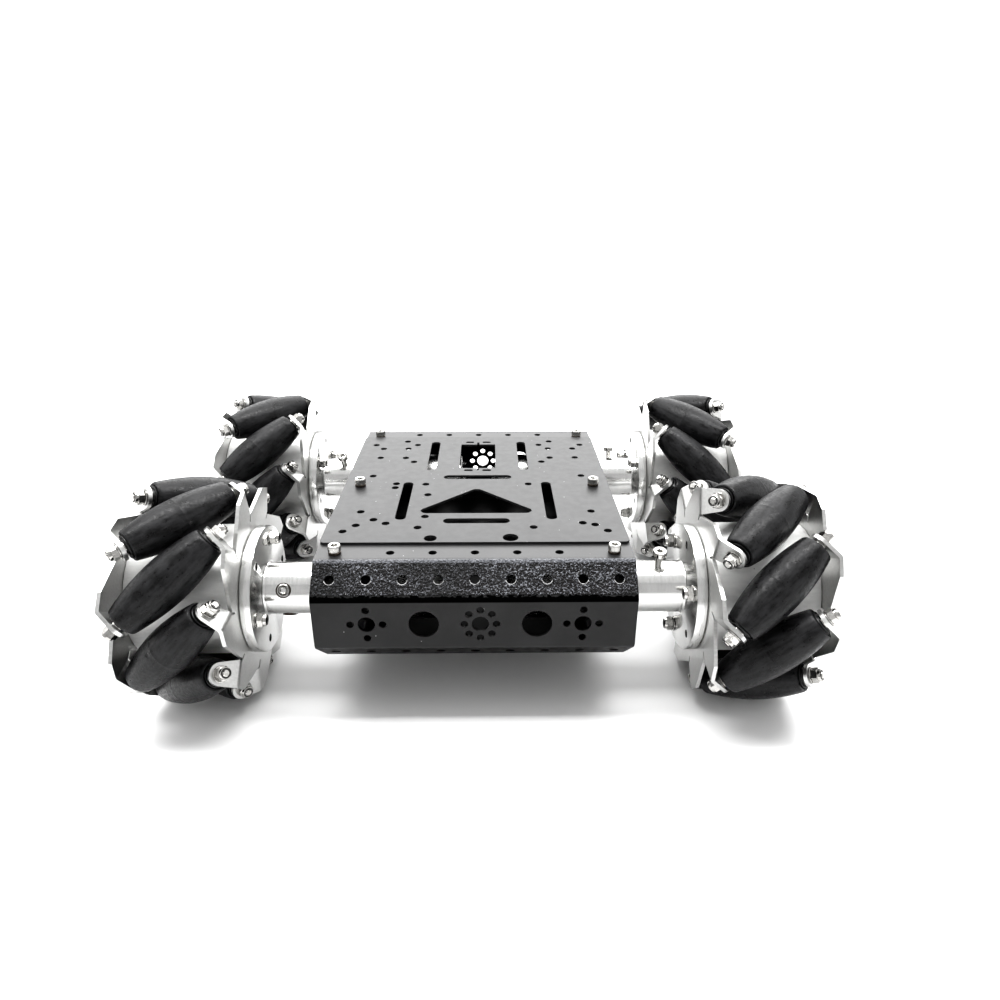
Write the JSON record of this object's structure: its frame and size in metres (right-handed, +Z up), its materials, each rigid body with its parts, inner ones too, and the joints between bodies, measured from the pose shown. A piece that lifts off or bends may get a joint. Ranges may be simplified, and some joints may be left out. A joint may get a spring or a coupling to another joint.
{
  "type": "mecanum wheel robot",
  "caption": "Driving base with a bent sheet chassis, a flat mounting deck and wheels that carry free-turning barrel rollers set at 45 degrees.",
  "frame": {"origin": "on the floor under the middle of the robot's overall box", "axes": "+X to the robot's right along the axles, -Y towards its front, +Z up"},
  "size_m": [0.3702, 0.2906, 0.1264],
  "materials": {
    "chassis_coat": "dark grey powder coat with a wrinkle texture on the bent ends",
    "deck_coat": "matt grey coat",
    "sheet_aluminium": "brushed",
    "motor_steel": "satin",
    "turned_aluminium": "turned, bright",
    "plate_aluminium": "satin, laser cut and bent",
    "drum_aluminium": "rolled, satin",
    "roller_rubber": "matt moulded rubber"
  },
  "bodies": {
    "chassis": {"chassis_shell": "chassis_coat", "deck_plate": "deck_coat", "side_channel_left": "sheet_aluminium", "side_channel_right": "sheet_aluminium", "motor_front_left": "motor_steel", "motor_front_right": "motor_steel", "motor_rear_left": "motor_steel", "motor_rear_right": "motor_steel"},
    "wheel_front_left": {"coupling_front_left": "turned_aluminium", "plate_inner_front_left": "plate_aluminium", "plate_outer_front_left": "plate_aluminium", "drum_front_left": "drum_aluminium"},
    "wheel_front_right": {"coupling_front_right": "turned_aluminium", "plate_inner_front_right": "plate_aluminium", "plate_outer_front_right": "plate_aluminium", "drum_front_right": "drum_aluminium"},
    "wheel_rear_left": {"coupling_rear_left": "turned_aluminium", "plate_inner_rear_left": "plate_aluminium", "plate_outer_rear_left": "plate_aluminium", "drum_rear_left": "drum_aluminium"},
    "wheel_rear_right": {"coupling_rear_right": "turned_aluminium", "plate_inner_rear_right": "plate_aluminium", "plate_outer_rear_right": "plate_aluminium", "drum_rear_right": "drum_aluminium"},
    "roller_front_left_1": {"roller_front_left_1": "roller_rubber"},
    "roller_front_left_2": {"roller_front_left_2": "roller_rubber"},
    "roller_front_left_3": {"roller_front_left_3": "roller_rubber"},
    "roller_front_left_4": {"roller_front_left_4": "roller_rubber"},
    "roller_front_left_5": {"roller_front_left_5": "roller_rubber"},
    "roller_front_left_6": {"roller_front_left_6": "roller_rubber"},
    "roller_front_left_7": {"roller_front_left_7": "roller_rubber"},
    "roller_front_left_8": {"roller_front_left_8": "roller_rubber"},
    "roller_front_left_9": {"roller_front_left_9": "roller_rubber"},
    "roller_front_right_1": {"roller_front_right_1": "roller_rubber"},
    "roller_front_right_2": {"roller_front_right_2": "roller_rubber"},
    "roller_front_right_3": {"roller_front_right_3": "roller_rubber"},
    "roller_front_right_4": {"roller_front_right_4": "roller_rubber"},
    "roller_front_right_5": {"roller_front_right_5": "roller_rubber"},
    "roller_front_right_6": {"roller_front_right_6": "roller_rubber"},
    "roller_front_right_7": {"roller_front_right_7": "roller_rubber"},
    "roller_front_right_8": {"roller_front_right_8": "roller_rubber"},
    "roller_front_right_9": {"roller_front_right_9": "roller_rubber"},
    "roller_rear_left_1": {"roller_rear_left_1": "roller_rubber"},
    "roller_rear_left_2": {"roller_rear_left_2": "roller_rubber"},
    "roller_rear_left_3": {"roller_rear_left_3": "roller_rubber"},
    "roller_rear_left_4": {"roller_rear_left_4": "roller_rubber"},
    "roller_rear_left_5": {"roller_rear_left_5": "roller_rubber"},
    "roller_rear_left_6": {"roller_rear_left_6": "roller_rubber"},
    "roller_rear_left_7": {"roller_rear_left_7": "roller_rubber"},
    "roller_rear_left_8": {"roller_rear_left_8": "roller_rubber"},
    "roller_rear_left_9": {"roller_rear_left_9": "roller_rubber"},
    "roller_rear_right_1": {"roller_rear_right_1": "roller_rubber"},
    "roller_rear_right_2": {"roller_rear_right_2": "roller_rubber"},
    "roller_rear_right_3": {"roller_rear_right_3": "roller_rubber"},
    "roller_rear_right_4": {"roller_rear_right_4": "roller_rubber"},
    "roller_rear_right_5": {"roller_rear_right_5": "roller_rubber"},
    "roller_rear_right_6": {"roller_rear_right_6": "roller_rubber"},
    "roller_rear_right_7": {"roller_rear_right_7": "roller_rubber"},
    "roller_rear_right_8": {"roller_rear_right_8": "roller_rubber"},
    "roller_rear_right_9": {"roller_rear_right_9": "roller_rubber"}
  },
  "joints": [
    {"name": "wheel_spin_front_left", "type": "hinge", "parent": "chassis", "child": "wheel_front_left", "pos_m": [-0.1542, -0.08207, 0.06319], "axis": [1, 0, 0], "continuous": true},
    {"name": "wheel_spin_front_right", "type": "hinge", "parent": "chassis", "child": "wheel_front_right", "pos_m": [0.1542, -0.08207, 0.06319], "axis": [1, 0, 0], "continuous": true},
    {"name": "wheel_spin_rear_left", "type": "hinge", "parent": "chassis", "child": "wheel_rear_left", "pos_m": [-0.1542, 0.08207, 0.06319], "axis": [1, 0, 0], "continuous": true},
    {"name": "wheel_spin_rear_right", "type": "hinge", "parent": "chassis", "child": "wheel_rear_right", "pos_m": [0.1542, 0.08207, 0.06319], "axis": [1, 0, 0], "continuous": true},
    {"name": "roller_spin_front_left_1", "type": "hinge", "parent": "wheel_front_left", "child": "roller_front_left_1", "pos_m": [-0.1542, -0.13311, 0.05854], "axis": [0.7071, -0.0641, 0.7042], "continuous": true},
    {"name": "roller_spin_front_left_2", "type": "hinge", "parent": "wheel_front_left", "child": "roller_front_left_2", "pos_m": [-0.1542, -0.12415, 0.09244], "axis": [0.7071, 0.4036, 0.5806], "continuous": true},
    {"name": "roller_spin_front_left_3", "type": "hinge", "parent": "wheel_front_left", "child": "roller_front_left_3", "pos_m": [-0.1542, -0.09551, 0.11265], "axis": [0.7071, 0.6824, 0.1854], "continuous": true},
    {"name": "roller_spin_front_left_4", "type": "hinge", "parent": "wheel_front_left", "child": "roller_front_left_4", "pos_m": [-0.1542, -0.06057, 0.10971], "axis": [0.7071, 0.6419, -0.2966], "continuous": true},
    {"name": "roller_spin_front_left_5", "type": "hinge", "parent": "wheel_front_left", "child": "roller_front_left_5", "pos_m": [-0.1542, -0.0357, 0.08501], "axis": [0.7071, 0.3011, -0.6398], "continuous": true},
    {"name": "roller_spin_front_left_6", "type": "hinge", "parent": "wheel_front_left", "child": "roller_front_left_6", "pos_m": [-0.1542, -0.03252, 0.0501], "axis": [0.7071, -0.1806, -0.6836], "continuous": true},
    {"name": "roller_spin_front_left_7", "type": "hinge", "parent": "wheel_front_left", "child": "roller_front_left_7", "pos_m": [-0.1542, -0.05253, 0.02131], "axis": [0.7071, -0.5778, -0.4076], "continuous": true},
    {"name": "roller_spin_front_left_8", "type": "hinge", "parent": "wheel_front_left", "child": "roller_front_left_8", "pos_m": [-0.1542, -0.08636, 0.01212], "axis": [0.7071, -0.7046, 0.0592], "continuous": true},
    {"name": "roller_spin_front_left_9", "type": "hinge", "parent": "wheel_front_left", "child": "roller_front_left_9", "pos_m": [-0.1542, -0.11818, 0.02682], "axis": [0.7071, -0.5017, 0.4983], "continuous": true},
    {"name": "roller_spin_front_right_1", "type": "hinge", "parent": "wheel_front_right", "child": "roller_front_right_1", "pos_m": [0.1542, -0.13241, 0.05359], "axis": [0.7071, -0.1325, 0.6946], "continuous": true},
    {"name": "roller_spin_front_right_2", "type": "hinge", "parent": "wheel_front_right", "child": "roller_front_right_2", "pos_m": [0.1542, -0.12681, 0.08819], "axis": [0.7071, 0.345, 0.6172], "continuous": true},
    {"name": "roller_spin_front_right_3", "type": "hinge", "parent": "wheel_front_right", "child": "roller_front_right_3", "pos_m": [0.1542, -0.10027, 0.1111], "axis": [0.7071, 0.661, 0.2511], "continuous": true},
    {"name": "roller_spin_front_right_4", "type": "hinge", "parent": "wheel_front_right", "child": "roller_front_right_4", "pos_m": [0.1542, -0.06522, 0.11159], "axis": [0.7071, 0.6678, -0.2325], "continuous": true},
    {"name": "roller_spin_front_right_5", "type": "hinge", "parent": "wheel_front_right", "child": "roller_front_right_5", "pos_m": [0.1542, -0.03805, 0.08943], "axis": [0.7071, 0.3621, -0.6074], "continuous": true},
    {"name": "roller_spin_front_right_6", "type": "hinge", "parent": "wheel_front_right", "child": "roller_front_right_6", "pos_m": [0.1542, -0.03148, 0.055], "axis": [0.7071, -0.1131, -0.698], "continuous": true},
    {"name": "roller_spin_front_right_7", "type": "hinge", "parent": "wheel_front_right", "child": "roller_front_right_7", "pos_m": [0.1542, -0.04858, 0.02439], "axis": [0.7071, -0.5353, -0.462], "continuous": true},
    {"name": "roller_spin_front_right_8", "type": "hinge", "parent": "wheel_front_right", "child": "roller_front_right_8", "pos_m": [0.1542, -0.08135, 0.01195], "axis": [0.7071, -0.707, -0.0099], "continuous": true},
    {"name": "roller_spin_front_right_9", "type": "hinge", "parent": "wheel_front_right", "child": "roller_front_right_9", "pos_m": [0.1542, -0.11446, 0.02347], "axis": [0.7071, -0.548, 0.4469], "continuous": true},
    {"name": "roller_spin_rear_left_1", "type": "hinge", "parent": "wheel_rear_left", "child": "roller_rear_left_1", "pos_m": [-0.1542, 0.03095, 0.06677], "axis": [0.7071, 0.0493, 0.7054], "continuous": true},
    {"name": "roller_spin_rear_left_2", "type": "hinge", "parent": "wheel_rear_left", "child": "roller_rear_left_2", "pos_m": [-0.1542, 0.0452, 0.09879], "axis": [0.7071, 0.4912, 0.5087], "continuous": true},
    {"name": "roller_spin_rear_left_3", "type": "hinge", "parent": "wheel_rear_left", "child": "roller_rear_left_3", "pos_m": [-0.1542, 0.07671, 0.11416], "axis": [0.7071, 0.7032, 0.0739], "continuous": true},
    {"name": "roller_spin_rear_left_4", "type": "hinge", "parent": "wheel_rear_left", "child": "roller_rear_left_4", "pos_m": [-0.1542, 0.11073, 0.10568], "axis": [0.7071, 0.5862, -0.3954], "continuous": true},
    {"name": "roller_spin_rear_left_5", "type": "hinge", "parent": "wheel_rear_left", "child": "roller_rear_left_5", "pos_m": [-0.1542, 0.13134, 0.07732], "axis": [0.7071, 0.1949, -0.6797], "continuous": true},
    {"name": "roller_spin_rear_left_6", "type": "hinge", "parent": "wheel_rear_left", "child": "roller_rear_left_6", "pos_m": [-0.1542, 0.12889, 0.04235], "axis": [0.7071, -0.2876, -0.646], "continuous": true},
    {"name": "roller_spin_rear_left_7", "type": "hinge", "parent": "wheel_rear_left", "child": "roller_rear_left_7", "pos_m": [-0.1542, 0.10454, 0.01713], "axis": [0.7071, -0.6355, -0.31], "continuous": true},
    {"name": "roller_spin_rear_left_8", "type": "hinge", "parent": "wheel_rear_left", "child": "roller_rear_left_8", "pos_m": [-0.1542, 0.06967, 0.01346], "axis": [0.7071, -0.6861, 0.1711], "continuous": true},
    {"name": "roller_spin_rear_left_9", "type": "hinge", "parent": "wheel_rear_left", "child": "roller_rear_left_9", "pos_m": [-0.1542, 0.04061, 0.03307], "axis": [0.7071, -0.4156, 0.5721], "continuous": true},
    {"name": "roller_spin_rear_right_1", "type": "hinge", "parent": "wheel_rear_right", "child": "roller_rear_right_1", "pos_m": [0.1542, 0.03112, 0.05765], "axis": [0.7071, 0.0764, -0.703], "continuous": true},
    {"name": "roller_spin_rear_right_2", "type": "hinge", "parent": "wheel_rear_right", "child": "roller_rear_right_2", "pos_m": [0.1542, 0.03948, 0.0917], "axis": [0.7071, -0.3934, -0.5876], "continuous": true},
    {"name": "roller_spin_rear_right_3", "type": "hinge", "parent": "wheel_rear_right", "child": "roller_rear_right_3", "pos_m": [0.1542, 0.06777, 0.11241], "axis": [0.7071, -0.679, -0.1973], "continuous": true},
    {"name": "roller_spin_rear_right_4", "type": "hinge", "parent": "wheel_rear_right", "child": "roller_rear_right_4", "pos_m": [0.1542, 0.10275, 0.11008], "axis": [0.7071, -0.647, 0.2853], "continuous": true},
    {"name": "roller_spin_rear_right_5", "type": "hinge", "parent": "wheel_rear_right", "child": "roller_rear_right_5", "pos_m": [0.1542, 0.12805, 0.08582], "axis": [0.7071, -0.3122, 0.6345], "continuous": true},
    {"name": "roller_spin_rear_right_6", "type": "hinge", "parent": "wheel_rear_right", "child": "roller_rear_right_6", "pos_m": [0.1542, 0.13184, 0.05097], "axis": [0.7071, 0.1687, 0.6867], "continuous": true},
    {"name": "roller_spin_rear_right_7", "type": "hinge", "parent": "wheel_rear_right", "child": "roller_rear_right_7", "pos_m": [0.1542, 0.11234, 0.02183], "axis": [0.7071, 0.5706, 0.4176], "continuous": true},
    {"name": "roller_spin_rear_right_8", "type": "hinge", "parent": "wheel_rear_right", "child": "roller_rear_right_8", "pos_m": [0.1542, 0.07867, 0.01205], "axis": [0.7071, 0.7056, -0.0469], "continuous": true},
    {"name": "roller_spin_rear_right_9", "type": "hinge", "parent": "wheel_rear_right", "child": "roller_rear_right_9", "pos_m": [0.1542, 0.0466, 0.0262], "axis": [0.7071, 0.5104, -0.4894], "continuous": true}
  ]
}
